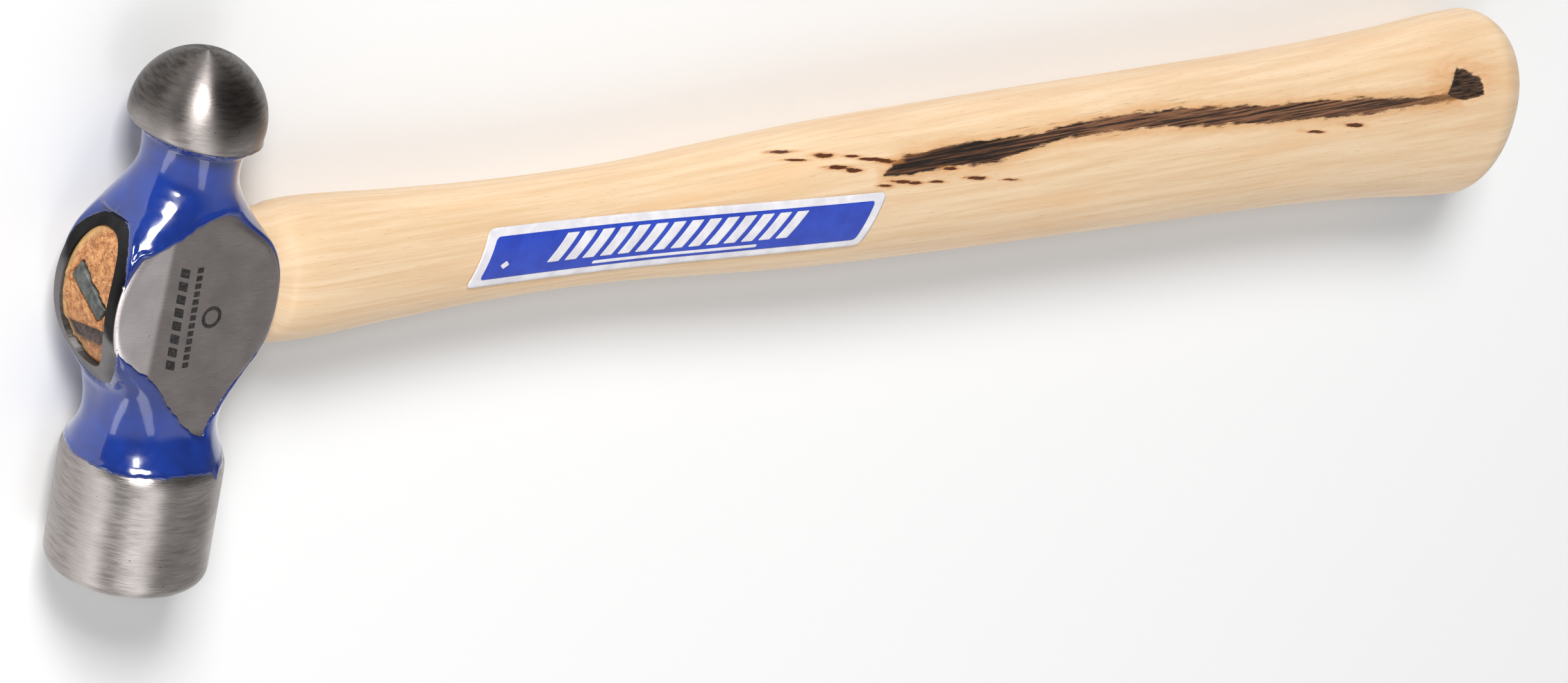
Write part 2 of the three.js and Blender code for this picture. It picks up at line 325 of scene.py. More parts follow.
def head_angles(y):
    """Angles round the head at each height, with rows along the edges of the cheeks."""
    eye_end, handle_side, cheek = np.moveaxis(section_at(HEAD_SECTIONS, y)[..., :3], -1, 0)
    reach_z = np.minimum(cheek, CHEEK_Z)
    handle_corner = np.arctan2(reach_z, handle_side)
    end_corner = math.pi - np.arctan2(reach_z, np.minimum(eye_end, end_reach(y)))
    side, face, end = 26, 84, 34

    def dense(count):
        """Shares from 0 up to 1, closest together near both ends."""
        eased = (1 - np.cos(np.linspace(0, math.pi, count + 1)[:-1])) / 2
        return 0.45 * eased + 0.55 * np.linspace(0, 1, count + 1)[:-1]

    spans = [
        (0 * y, handle_corner, dense(side)),
        (handle_corner, end_corner, dense(face)),
        (end_corner, 0 * y + math.pi, dense(end)),
    ]
    half = np.concatenate(
        [low[:, None] + (high - low)[:, None] * share for low, high, share in spans], axis=1
    )
    top = np.full((len(y), 1), math.pi)
    back = TURN - half[:, :0:-1]
    return np.concatenate([half, top, back], axis=1)


def head_grid():
    """The head's surface as a grid of points, ring by ring, with each point's angle."""
    rings = head_rings()
    nominal, cap = rings[:, 0], rings[:, 1]
    angle = head_angles(np.clip(nominal, HEAD_SECTIONS[0, 0], HEAD_SECTIONS[-1, 0]))
    level = np.broadcast_to(nominal[:, None], angle.shape)
    limit = np.broadcast_to(cap[:, None], angle.shape)
    lift = ASKEW * np.cos(angle - ASKEW_ANGLE)
    share = smoothstep(ASKEW_START_Y, ASKEW_FULL_Y, level)
    share = share * (1 - smoothstep(BALL_LIP_Y, ASKEW_END_Y, level))
    y = level + lift * share
    neck = neck_radius(angle, np.clip(level, HEAD_SECTIONS[0, 0], HEAD_SECTIONS[-1, 0]))
    on_body = np.isinf(limit)
    under_ball = limit < 0
    on_ball = level > BALL_LIP_Y + 1e-6
    ball = np.sqrt(np.maximum(BALL_RADIUS**2 - (y - BALL_Y) ** 2, 1e-6))
    radius = np.where(on_body, neck, limit)
    greater = (neck**NECK_SOFTNESS + np.abs(limit) ** NECK_SOFTNESS) ** (1 / NECK_SOFTNESS)
    radius = np.where(under_ball, greater, radius)
    radius = np.where(on_ball, ball, radius)
    cheek = cheek_reach(y) / np.maximum(np.abs(np.sin(angle)), 1e-4)
    ground = soft_least(EDGE_SOFTNESS, radius, cheek)
    end = end_reach(y) / np.maximum(-np.cos(angle), 1e-4)
    ground = np.where(np.cos(angle) < -0.2, soft_least(EDGE_SOFTNESS, ground, end), ground)
    radius = np.where(on_body, ground, radius)
    points = np.stack([radius * np.cos(angle), y, radius * np.sin(angle)], axis=-1)
    return points, angle


def grid_normals(points):
    """Unit normals of rings of points, from the differences along and round the rings."""
    along = np.gradient(points, axis=0)
    around = np.roll(points, -1, axis=1) - np.roll(points, 1, axis=1)
    normal = np.cross(along, around)
    return normal / np.maximum(np.linalg.norm(normal, axis=-1, keepdims=True), 1e-12)


def clip_grid(data, value, wrap):
    """The part of a grid where value is above 0, with new corners where its edge crosses.

    data holds each corner's numbers. Returns the used corners' numbers and the faces.
    """
    rows, columns = value.shape
    flat_value = value.ravel()
    corners = [data.reshape(rows * columns, -1)]
    crossing = {}
    added = []

    def cross(a, b):
        key = (min(a, b), max(a, b))
        if key not in crossing:
            t = flat_value[a] / (flat_value[a] - flat_value[b])
            crossing[key] = rows * columns + len(added)
            added.append(corners[0][a] * (1 - t) + corners[0][b] * t)
        return crossing[key]

    index = np.arange(rows * columns).reshape(rows, columns)
    right = np.roll(index, -1, axis=1) if wrap else index[:, 1:]
    left = index if wrap else index[:, :-1]
    quads = np.stack([left[:-1], right[:-1], right[1:], left[1:]], axis=-1).reshape(-1, 4)
    inside = (flat_value[quads] > 0).sum(axis=1)
    faces = quads[inside == 4].tolist()
    for quad in quads[(inside > 0) & (inside < 4)].tolist():
        face = []
        for a, b in zip(quad, quad[1:] + quad[:1]):
            if flat_value[a] > 0:
                face.append(a)
            if (flat_value[a] > 0) != (flat_value[b] > 0):
                face.append(cross(a, b))
        faces.append(face)
    everything = np.concatenate([corners[0], np.array(added).reshape(len(added), -1)])
    used = sorted({c for face in faces for c in face})
    renumbered = dict(zip(used, range(len(used))))
    return everything[used], [[renumbered[c] for c in face] for face in faces]


def rim_edges(faces):
    """The directed edges that only one face has."""
    edges = {(a, b) for face in faces for a, b in zip(face, face[1:] + face[:1])}
    return [(a, b) for a, b in edges if (b, a) not in edges]


def slab(points, normals, faces, above, below):
    """A closed sheet: the faces raised by above along the normals, and their lower side."""
    count = len(points)
    upper = points + normals * np.reshape(above, (-1, 1))
    lower = points - normals * np.reshape(below, (-1, 1))
    closed = [list(face) for face in faces]
    closed += [[c + count for c in reversed(face)] for face in faces]
    closed += [[b, a, a + count, b + count] for a, b in sorted(rim_edges(faces))]
    return np.concatenate([upper, lower]), closed


def add_mesh(name, points, faces, material, attributes=None, smooth=True):
    """A piece of the object from points in millimetres, riding on the hammer."""
    mesh = bpy.data.meshes.new(name)
    mesh.from_pydata(place(points).tolist(), [], faces)
    mesh.validate()
    for key, values in (attributes or {}).items():
        values = np.asarray(values, np.float32)
        kind, field = ("FLOAT", "value") if values.ndim == 1 else ("FLOAT_VECTOR", "vector")
        layer = mesh.attributes.new(key, kind, "POINT")
        layer.data.foreach_set(field, values.ravel())
    mesh.polygons.foreach_set("use_smooth", [smooth] * len(mesh.polygons))
    mesh.update()
    mesh.materials.append(material)
    piece = bpy.data.objects.new(name, mesh)
    bpy.context.scene.collection.objects.link(piece)
    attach(piece, "root")
    return piece


def outline_distance(outline, x, y):
    """How far each point lies outside a closed outline, and below 0 inside it."""
    ring = np.array(outline, float)
    nearest = np.full(np.shape(x), 1e9)
    inside = np.zeros(np.shape(x), bool)
    for (ax, ay), (bx, by) in zip(ring, np.roll(ring, -1, axis=0)):
        along = ((x - ax) * (bx - ax) + (y - ay) * (by - ay)) / ((bx - ax) ** 2 + (by - ay) ** 2)
        along = np.clip(along, 0, 1)
        nearest = np.minimum(nearest, np.hypot(x - ax - along * (bx - ax), y - ay - along * (by - ay)))
        crosses = (ay > y) != (by > y)
        inside ^= crosses & (x < (bx - ax) * (y - ay) / np.where(by == ay, 1e-9, by - ay) + ax)
    return np.where(inside, -nearest, nearest)


def rounded_outline(outline):
    """A closed smooth curve through the outline's points, with five steps between them."""
    ring = np.array(outline, float)
    t = np.linspace(0, 1, 5, endpoint=False)[None, :, None]
    p0, p1, p2, p3 = (np.roll(ring, -k, axis=0)[:, None, :] for k in (-1, 0, 1, 2))
    squared, cubed = 2 * p0 - 5 * p1 + 4 * p2 - p3, 3 * p1 - p0 - 3 * p2 + p3
    curve = 0.5 * (2 * p1 + (p2 - p0) * t + squared * t**2 + cubed * t**3)
    return curve.reshape(-1, 2)


def grid_faces(rows, columns):
    """The quads between rings of points, where each ring closes on itself."""
    index = np.arange(rows * columns).reshape(rows, columns)
    ahead = np.roll(index, -1, axis=1)
    quads = np.stack([index[:-1], index[1:], ahead[1:], ahead[:-1]], axis=-1)
    return quads.reshape(-1, 4).tolist()


def cut_sheet(name, points, outside, above, below, look, smooth=True):
    """A thin closed sheet facing +Z: the part of a grid of points where outside is below 0."""
    normals = np.broadcast_to(np.array([0, 0, 1.0]), points.shape)
    data = np.concatenate([points, normals], axis=-1)
    corners, faces = clip_grid(data, -outside, wrap=False)
    sheet, closed = slab(corners[:, :3], corners[:, 3:6], faces, above, below)
    return add_mesh(name, sheet, closed, look, smooth=smooth)


# ---------------- materials


class Look:
    """A node material around one Principled shader."""

    def __init__(self, name, **sockets):
        self.material = bpy.data.materials.new(name)
        self.material.use_nodes = True
        self.tree = self.material.node_tree
        self.shader = self.tree.nodes["Principled BSDF"]
        for key, value in sockets.items():
            self.shader.inputs[key.replace("_", " ")].default_value = value

    def put(self, socket, value):
        """Links a socket to value, or sets it to value."""
        if isinstance(value, bpy.types.NodeSocket):
            self.tree.links.new(value, socket)
        elif isinstance(value, tuple) and len(value) == 3 and socket.type == "RGBA":
            socket.default_value = (*value, 1)
        else:
            socket.default_value = value

    def add(self, kind, output=0, settings=None, **inputs):
        """A node with its inputs set or linked. Returns one of its output sockets."""
        node = self.tree.nodes.new("ShaderNode" + kind)
        for key, value in (settings or {}).items():
            setattr(node, key, value)
        for key, value in inputs.items():
            self.put(node.inputs[key.replace("_", " ")], value)
        return node.outputs[output]

    def math(self, operation, first, second=0.0):
        node = self.tree.nodes.new("ShaderNodeMath")
        node.operation = operation
        self.put(node.inputs[0], first)
        self.put(node.inputs[1], second)
        return node.outputs[0]

    def attribute(self, name, output="Fac"):
        node = self.tree.nodes.new("ShaderNodeAttribute")
        node.attribute_name = name
        return node.outputs[output]

    def here(self):
        """The place on the object, in millimetres."""
        return self.scaled(self.add("TexCoord", output=3), 1 / MM, 1 / MM, 1 / MM)

    def scaled(self, vector, x, y, z):
        """A vector with each of its parts scaled."""
        return self.add("Mapping", Vector=vector, Scale=(x, y, z))

    def split(self, vector):
        node = self.tree.nodes.new("ShaderNodeSeparateXYZ")
        self.tree.links.new(vector, node.inputs[0])
        return node.outputs

    def noise(self, vector, scale=1.0, detail=3.0, roughness=0.55, distortion=0.0):
        numbers = {"Scale": scale, "Detail": detail, "Roughness": roughness}
        return self.add("TexNoise", Vector=vector, Distortion=distortion, **numbers)

    def remap(self, value, low, high, to_low=0.0, to_high=1.0):
        """value from low..high to to_low..to_high, held at the ends, with a smooth ramp."""
        smooth = {"interpolation_type": "SMOOTHSTEP"}
        ends = {"From_Min": low, "From_Max": high, "To_Min": to_low, "To_Max": to_high}
        return self.add("MapRange", settings=smooth, Value=value, **ends)

    def mix(self, factor, first, second):
        """Blends two colours."""
        node = self.tree.nodes.new("ShaderNodeMix")
        node.data_type = "RGBA"
        self.put(node.inputs[0], factor)
        self.put(node.inputs[6], first)
        self.put(node.inputs[7], second)
        return node.outputs[2]

    def blend(self, value, first, second, low=0.3, high=0.7):
        """One colour where value is low and another where it is high."""
        return self.mix(self.remap(value, low, high), first, second)

    def plus(self, first, second):
        return self.math("ADD", first, second)

    def times(self, first, second):
        return self.math("MULTIPLY", first, second)

    def shaken(self, value, noise, middle, amount):
        """value with noise added, where noise moves it both ways from its middle."""
        return self.plus(value, self.times(self.math("SUBTRACT", noise, middle), amount))

    def finish(self, colour, roughness, relief, depth):
        """Links the colour, the roughness and a relief this many millimetres deep."""
        normal = self.add("Bump", Height=relief, Distance=depth * MM)
        for name, value in {"Base Color": colour, "Roughness": roughness, "Normal": normal}.items():
            self.put(self.shader.inputs[name], value)
        return self.material


def srgb(red, green, blue):
    """A colour given as 0 to 255 in sRGB, as linear numbers."""
    return tuple(
        c / 12.92 if c <= 0.04045 else ((c + 0.055) / 1.055) ** 2.4
        for c in (red / 255, green / 255, blue / 255)
    )


def steel_look():
    """Bare steel: turned round the poll and ball, ground straight on the cheeks and eye end.

    The glint attribute paints pale bands round the poll, and the ball is painted dark with one
    paler side: both are painted reflections, and so is the darker top of the ground eye end.
    The cheek is also paler along its strip nearest the eye end. The first two stand in for
    reflections, and the third is the brighter strip of the cheek, which may be one as well.
    """
    look = Look("bare_steel", Metallic=1.0, Anisotropic=0.84)
    grain = look.attribute("grain", "Vector")
    cheek = look.attribute("cheek")
    ring = look.attribute("ring")
    fine = look.noise(look.scaled(grain, 0.35, 9.0, 1), detail=4, roughness=0.7)
    broad = look.noise(look.scaled(grain, 0.25, 1.4, 1), detail=3)
    blotch = look.noise(look.scaled(grain, 0.16, 0.16, 1), detail=3)
    turned = look.blend(fine, srgb(134, 127, 124), srgb(186, 179, 176))
    turned = look.mix(look.remap(broad, 0.4, 0.75, 0, 0.4), turned, srgb(100, 93, 90))
    turned = look.mix(look.attribute("glint"), turned, srgb(222, 214, 210))
    # The ball's painted dark reflection, mottled.
    dark = look.blend(broad, srgb(50, 47, 44), srgb(96, 90, 85))
    turned = look.mix(look.attribute("ball_dark_reflection"), turned, dark)
    # The cheek's ground steel, paler along its strip nearest the eye end.
    pale = look.blend(fine, srgb(138, 130, 128), srgb(172, 163, 161))
    bright = look.blend(fine, srgb(206, 196, 196), srgb(234, 226, 226))
    pale = look.mix(look.attribute("cheek_pale_strip"), pale, bright)
    steel = look.mix(cheek, turned, pale)
    # The ground eye end: darker towards its top, a painted reflection; its blotches are the steel's
    # own.
    end_dark_colour = look.blend(blotch, srgb(40, 40, 42), srgb(62, 60, 60), 0.3, 0.75)
    end_pale_colour = look.blend(fine, srgb(112, 110, 110), srgb(140, 138, 138))
    uneven = look.plus(look.attribute("end_dark_reflection"), look.remap(blotch, 0.3, 0.7, -0.2, 0.2))
    end = look.blend(uneven, end_pale_colour, end_dark_colour, 0.25, 0.75)
    steel = look.mix(ring, steel, end)
    pits = look.noise(look.scaled(grain, 1.3, 1.3, 1), detail=2)
    steel = look.mix(look.remap(pits, 0.72, 0.76, 0, 0.75), steel, srgb(48, 44, 42))
    rough = look.remap(fine, 0.25, 0.75, 0.26, 0.42)
    rough = look.plus(rough, look.remap(blotch, 0.3, 0.7, -0.04, 0.08))
    rough = look.plus(rough, look.times(ring, 0.18))
    look.put(look.shader.inputs["Tangent"], look.attribute("brush", "Vector"))
    return look.finish(steel, rough, fine, 0.02)


def enamel_look():
    """Deep blue gloss enamel with slow waves, darker where it is thin at its edges."""
    look = Look("blue_enamel", Metallic=0.0, IOR=1.5, Coat_Weight=1.0, Coat_Roughness=0.05)
    where = look.here()
    slow = look.noise(where, scale=0.16, detail=2)
    fine = look.noise(where, scale=0.9, detail=2)
    colour = look.blend(slow, srgb(14, 40, 112), srgb(18, 52, 138))
    thin = look.attribute("thin")
    colour = look.mix(look.times(thin, 0.6), colour, srgb(8, 24, 80))
    return look.finish(colour, look.remap(fine, 0.3, 0.7, 0.12, 0.2), slow, 0.22)


def wood_look():
    """Pale hickory under satin lacquer: the long grain, the dark streak and the end grain."""
    look = Look("hickory", IOR=1.45, Coat_Weight=0.12, Coat_Roughness=0.3)
    grain = look.attribute("grain", "Vector")
    waviness = look.noise(look.scaled(grain, 0.02, 0.15, 1), detail=2)
    lengthwise = look.scaled(grain, 0.03, 0.8, 1)
    long_grain = look.noise(lengthwise, detail=5, roughness=0.62, distortion=0.35)
    fine = look.noise(look.scaled(grain, 0.11, 3.6, 1), detail=4, roughness=0.72)
    pores = look.noise(look.scaled(grain, 0.3, 6.5, 1), detail=2, roughness=0.6)
    colour = look.blend(long_grain, srgb(220, 186, 146), srgb(232, 205, 170))
    colour = look.mix(look.remap(fine, 0.52, 0.75, 0, 0.4), colour, srgb(208, 166, 120))
    colour = look.mix(look.remap(waviness, 0.5, 0.72, 0, 0.45), colour, srgb(230, 184, 134))
    colour = look.mix(look.remap(pores, 0.64, 0.72, 0, 0.5), colour, srgb(176, 132, 84))
    colour = streaked(look, colour, grain, pores)
    end = look.attribute("end")
    colour = look.mix(end, colour, end_grain_colour(look))
    dark = look.remap(look.attribute("streak"), -0.3, 0.5)
    rough = look.remap(fine, 0.3, 0.7, 0.36, 0.52)
    rough = look.plus(rough, look.times(dark, 0.12))
    rough = look.plus(rough, look.times(end, 0.3))
    pitted = look.times(dark, look.remap(pores, 0.4, 0.7, 0, 2))
    return look.finish(colour, rough, look.math("SUBTRACT", fine, pitted), 0.03)


def streaked(look, colour, grain, pores):
    """The wood's colour with its dark mineral streak, the knot and the flecks."""
    along = look.split(grain)[0]
    ragged = look.noise(look.scaled(grain, 0.25, 1.6, 1), detail=4, roughness=0.65)
    strands = look.noise(look.scaled(grain, 0.06, 3.2, 1), detail=4, roughness=0.7)
    streak = look.shaken(look.attribute("streak"), ragged, 0.42, 2.2)
    dense = look.blend(strands, srgb(24, 15, 10), srgb(104, 66, 42), 0.46, 0.62)
    loose = look.blend(strands, srgb(38, 24, 16), srgb(134, 92, 64), 0.42, 0.6)
    brown = look.blend(along, dense, loose, 158, 184)
    halo = look.remap(streak, -2.2, 0.2, 0, 0.55)
    colour = look.mix(halo, colour, srgb(206, 146, 84))
    colour = look.blend(streak, colour, brown, -0.25, 0.3)
    hairs = look.times(look.remap(strands, 0.6, 0.7), look.remap(streak, -2.6, -0.8))
    colour = look.mix(look.times(hairs, 0.8), colour, srgb(84, 50, 28))
    fleck = look.shaken(look.attribute("fleck"), ragged, 0.5, 1.6)
    colour = look.mix(look.remap(fleck, -0.5, 0.4, 0, 0.6), colour, srgb(206, 136, 72))
    colour = look.blend(fleck, colour, srgb(84, 44, 22), 0.15, 0.45)
    patchy = look.remap(ragged, 0.3, 0.7, 0.25, 0.9)
    around = look.times(look.attribute("knot_halo"), patchy)
    colour = look.mix(around, colour, srgb(204, 142, 84))
    knot = look.shaken(look.attribute("knot"), ragged, 0.5, 1.2)
    inner = look.blend(pores, srgb(22, 15, 12), srgb(92, 66, 50), 0.4, 0.62)
    return look.blend(knot, colour, inner, -0.15, 0.25)


def end_grain_colour(look):
    """Rough orange-brown end grain with a dark band and paler tufts."""
    where = look.here()
    lumps = look.noise(where, scale=1.1, detail=3, roughness=0.65)
    fine = look.noise(where, scale=3.6, detail=3, roughness=0.7)
    colour = look.blend(lumps, srgb(146, 88, 46), srgb(202, 146, 94), 0.32, 0.68)
    colour = look.blend(fine, colour, srgb(226, 184, 138), 0.56, 0.7)
    colour = look.mix(look.remap(fine, 0.45, 0.3, 0, 0.7), colour, srgb(100, 56, 28))
    dark_band = look.attribute("dark_band")
    dark_band_colour = look.blend(lumps, srgb(48, 38, 36), srgb(88, 70, 64), 0.35, 0.65)
    colour = look.blend(dark_band, colour, dark_band_colour, 0.1, 0.9)
    rim = look.attribute("rim")
    return look.mix(look.times(rim, 0.75), colour, srgb(196, 158, 104))


def wedge_look():
    """Dull mild steel with filed lines and bright nicks."""
    look = Look("wedge_steel", Metallic=0.9)
    where = look.here()
    filed = look.noise(look.scaled(where, 1.0, 0.5, 5.0), detail=4, roughness=0.7)
    blotch = look.noise(where, scale=0.7, detail=3)
    colour = look.blend(blotch, srgb(80, 83, 81), srgb(116, 119, 116))
    colour = look.mix(look.remap(filed, 0.6, 0.75, 0, 0.7), colour, srgb(168, 170, 168))
    return look.finish(colour, look.remap(filed, 0.3, 0.7, 0.38, 0.6), filed, 0.05)


def printed_look(name, colour, darker):
    """Label film or ink: an almost even colour with a faint mottle and sheen."""
    look = Look(name, IOR=1.45)
    where = look.here()
    mottle = look.noise(where, scale=0.35, detail=3)
    fine = look.noise(where, scale=2.5, detail=2)
    colour = look.blend(mottle, darker, colour)
    return look.finish(colour, look.remap(fine, 0.3, 0.7, 0.26, 0.36), mottle, 0.05)


def etched_look():
    """The dark, slightly broken surface of an etched mark."""
    look = Look("etched_mark", Metallic=0.4)
    worn = look.noise(look.here(), scale=3.2, detail=3, roughness=0.7)
    colour = look.blend(worn, srgb(30, 29, 29), srgb(74, 70, 68), 0.42, 0.7)
    return look.finish(colour, look.remap(worn, 0.3, 0.7, 0.5, 0.7), worn, 0.03)


# ---------------- head

# The columns of the data at the corners of the head's surface
PLACE, OUTWARD, BRUSH, GRAIN = (slice(at, at + 3) for at in (0, 3, 6, 9))
TONES = ("cheek", "ring", "cheek_pale_strip", "end_dark_reflection", "ball_dark_reflection", "glint")
TONE_COLUMN = {tone: 12 + n for n, tone in enumerate(TONES)}


def brush_data(points, normals, angle, cheek, ring):
    """The direction across the brushing at each point, and the place along and across its lines."""
    round_the_axis = np.stack([-np.sin(angle), 0 * angle, np.cos(angle)], axis=-1)
    straight = np.broadcast_to(np.array([1.0, 0, 0]), points.shape)
    down = np.broadcast_to(np.array([0, 1.0, 0]), points.shape)
    flat = cheek[..., None] > 0.5
    end = ring[..., None] > 0.5
    lines = np.where(end, down, np.where(flat, straight, round_the_axis))
    across = np.cross(normals, lines)
    x, y, z = np.moveaxis(points, -1, 0)
    climb = np.clip((y - BALL_Y) / BALL_RADIUS, -1, 1)
    reach = np.where(y > BALL_LIP_Y - 2, BALL_Y + BALL_RADIUS * np.arcsin(climb), y)
    layer = np.zeros_like(y)
    turned = np.stack([angle * GRAIN_RADIUS, reach, layer], axis=-1)
    on_cheek = np.stack([x, y, layer + 20], axis=-1)
    on_end = np.stack([y, z, layer + 40], axis=-1)
    return across, np.where(end, on_end, np.where(flat, on_cheek, turned))


def oval_distance(y, z, half_height, half_width, power):
    """Roughly how far outside an oval of the YZ plane a point is, in millimetres."""
    share = (np.abs(y / half_height) ** power + np.abs(z / half_width) ** power) ** (1 / power)
    return (share - 1) * half_width


def eye_distance(y, z, clearance=0.0):
    """How far outside the eye a point of the YZ plane is."""
    height, width = EYE_HALF_HEIGHT - clearance, EYE_HALF_WIDTH - clearance
    return oval_distance(y, z, height, width, EYE_POWER)


def ring_distance(y, z):
    """How far outside the ground eye end a point of the YZ plane is."""
    height, width = GROUND_END_HALF_HEIGHT, GROUND_END_HALF_WIDTH
    return oval_distance(y - GROUND_END_Y, z, height, width, GROUND_END_POWER)


def add_eye_wall(corners, faces):
    """Adds the wall of the eye: each edge of its two mouths drawn straight in to the middle."""
    mouth = [e for e in sorted(rim_edges(faces)) if np.abs(corners[list(e), 1]).max() < END_HIGH_Y]
    first, second = np.array(mouth).T
    edge = np.concatenate([corners[first], corners[second]])
    edge[:, BRUSH] = (1, 0, 0)
    edge[:, TONE_COLUMN["ring"]] = 1
    middle = edge.copy()
    middle[:, 0] = 0
    count, half = len(corners), len(first)
    outer = count + np.arange(half)
    inner = outer + 2 * half
    quads = np.stack([outer + half, outer, inner, inner + half], axis=-1)
    return np.concatenate([corners, edge, middle]), faces + quads.tolist()


def build_head():
    """The bare steel of the head, with the tones of its surface, and the enamel over it."""
    points, angle = head_grid()
    normals = grid_normals(points)
    x, y, z = np.moveaxis(points, -1, 0)
    on_body = np.abs(y) < 22.5
    level = (np.abs(normals[..., 2]) > 0.75) & (np.abs(z) > CHEEK_Z - 0.6)
    cheek = (on_body & level).astype(float)
    ring = ((x < -8) & (ring_distance(y, z) < 0.4)).astype(float) * (1 - cheek)
    brush, grain = brush_data(points, normals, angle, cheek, ring)
    eye = np.where((np.abs(x) > 7) & (np.abs(y) < 14), eye_distance(y, z), 9)
    # The cheek is paler along its strip nearest the eye end.
    cheek_pale_strip = smoothstep(-6.9, -8.1, x - 0.05 * (y - 1))
    # Painted reflection: the ground eye end is darker towards its top.
    end_dark_reflection = smoothstep(-4, 5, y + 0.6 * z)
    # Painted reflection: the ball is darkened all round, less so on one side.
    ball_dark_reflection = smoothstep(25, 31, y + 1.5 * waves(9, x * 0.25, y * 0.25, z * 0.25))
    ball_dark_reflection = ball_dark_reflection * (0.95 - 0.55 * np.exp(-(((angle - BALL_GLINT_ANGLE) / 0.42) ** 2)))
    glint = sum(np.exp(-(((angle - at) / 0.18) ** 2)) for at in POLL_GLINT_ANGLES)
    tones = np.stack([cheek, ring, cheek_pale_strip, end_dark_reflection, ball_dark_reflection, 0.4 * glint], axis=-1)
    data = np.concatenate([points, normals, brush, grain, tones], axis=-1)
    corners, faces = add_eye_wall(*clip_grid(data, eye, wrap=True))
    attributes = {tone: corners[:, column] for tone, column in TONE_COLUMN.items()}
    attributes |= {"brush": corners[:, BRUSH], "grain": corners[:, GRAIN]}
    steel = add_mesh("head_steel", corners[:, PLACE], faces, steel_look(), attributes)
    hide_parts("hammer_head")
    build_enamel(points, normals, angle, eye)


def enamel_reach(points, angle):
    """How far inside the enamel each point of the head is, in millimetres."""
    x, y, z = np.moveaxis(points, -1, 0)
    rough = waves(3, x * 0.9, y * 0.9, z * 0.9)
    fine = waves(4, x * 2.0, y * 2.0, z * 2.0)
    wavy = waves(5, 2.2 * np.cos(angle), 2.2 * np.sin(angle))
    drip = np.exp(-(((angle - DRIP_ANGLE) * POLL_RADIUS / 0.7) ** 2))
    over_poll = y - ENAMEL_LOW_Y + 0.5 * wavy + 0.1 * fine + 1.1 * drip
    lip = BALL_LIP_Y + ASKEW * np.cos(angle - ASKEW_ANGLE) - 0.15
    under_ball = lip - y + 0.1 * fine
    patch = rounded_outline(CHEEK_PATCH)
    shown = outline_distance(patch, x, y) + 0.12 * rough + 0.1 * fine
    hidden = outline_distance(patch, x - 0.4, y + 0.5) + 0.25 * rough + 0.1 * fine
    edge = 0.35
    shown = np.where(z > 0, np.maximum(shown, CHEEK_Z - edge - z), 99)
    hidden = np.where(z < 0, np.maximum(hidden, CHEEK_Z - edge + z), 99)
    end = np.where(x < -6, ring_distance(y, z) + 0.06 * fine, 99)
    return np.minimum.reduce([over_poll, under_ball, shown, hidden, end])


def build_enamel(points, normals, angle, eye):
    """The enamel coat: a closed sheet over the steel with a rounded edge."""
    reach = enamel_reach(points, angle)
    data = np.concatenate([points, normals, reach[..., None]], axis=-1)
    handle_hole = np.where(points[..., 0] > 0, eye, 9)
    corners, faces = clip_grid(data, np.minimum(reach, handle_hole), wrap=True)
    where, out, inside = corners[:, PLACE], corners[:, OUTWARD], np.maximum(corners[:, 6], 0)
    rounding = 0.45
    share = np.clip(inside / rounding, 0, 1)
    swell = np.exp(-(((inside - 0.5) / 0.4) ** 2))
    lumps = waves(8, *(where.T * 0.5))
    upper_edge = smoothstep(4, 7, where[:, 1]) * smoothstep(3, 0, where[:, 0]) * (where[:, 2] > 0)
    film = 0.13 + 0.03 * lumps
    bead = 0.1 + 0.22 * upper_edge * (1 + 0.5 * lumps)
    above = (film + bead * swell) * np.sqrt(1 - (1 - share) ** 2)
    coat, closed = slab(where, out, faces, above, 0.05)
    thin = 1 - np.clip(inside / 0.8, 0, 1)
    attributes = {"thin": np.concatenate([thin, thin])}
    add_mesh("enamel_coat", coat, closed, enamel_look(), attributes)


def build_cheek_mark():
    """A plain etched mark on the cheek: two rows of blocks and a ring."""

    def bars(middle, half, low, high, pitch, slant):
        row = np.maximum(np.abs(x - middle) - half, np.maximum(low - y, y - high))
        place_in_pitch = (y - low + slant * (x - middle)) % pitch
        gap = 0.16 * pitch - np.minimum(place_in_pitch, pitch - place_in_pitch)
        return np.maximum(row, gap)

    low_x, high_x, low_y, high_y, step = -5.4, 4.0, -10.4, 7.8, 0.11
    across = np.linspace(low_x, high_x, int((high_x - low_x) / step) + 2)
    along = np.linspace(low_y, high_y, int((high_y - low_y) / step) + 2)
    y, x = np.meshgrid(along, across, indexing="ij")
    points = np.stack([x, y, np.full_like(x, CHEEK_Z)], axis=-1)
    thick = bars(-4.1, 0.85, -10, 7.3, 2.16, 0.35)
    thin = bars(-1.3, 0.55, -9.9, 7.0, 1.3, 0.0)
    ring = np.abs(np.hypot(x - 2.2, y + 1.8) - 1.5) - 0.3
    outside = np.minimum.reduce([thick, thin, ring])
    cut_sheet(
        "cheek_mark", points, outside, 0.012, 0.02, etched_look(), smooth=False
    )


# ---------------- handle


def handle_angles():
    """Angles round the handle from +Y towards +Z, closest together on the streaked side."""
    streaked_side = math.radians(52)
    even = np.linspace(0, 1, 161)[:-1] * TURN
    return even - 0.5 * np.sin(even - streaked_side) - 0.5 * math.sin(streaked_side)


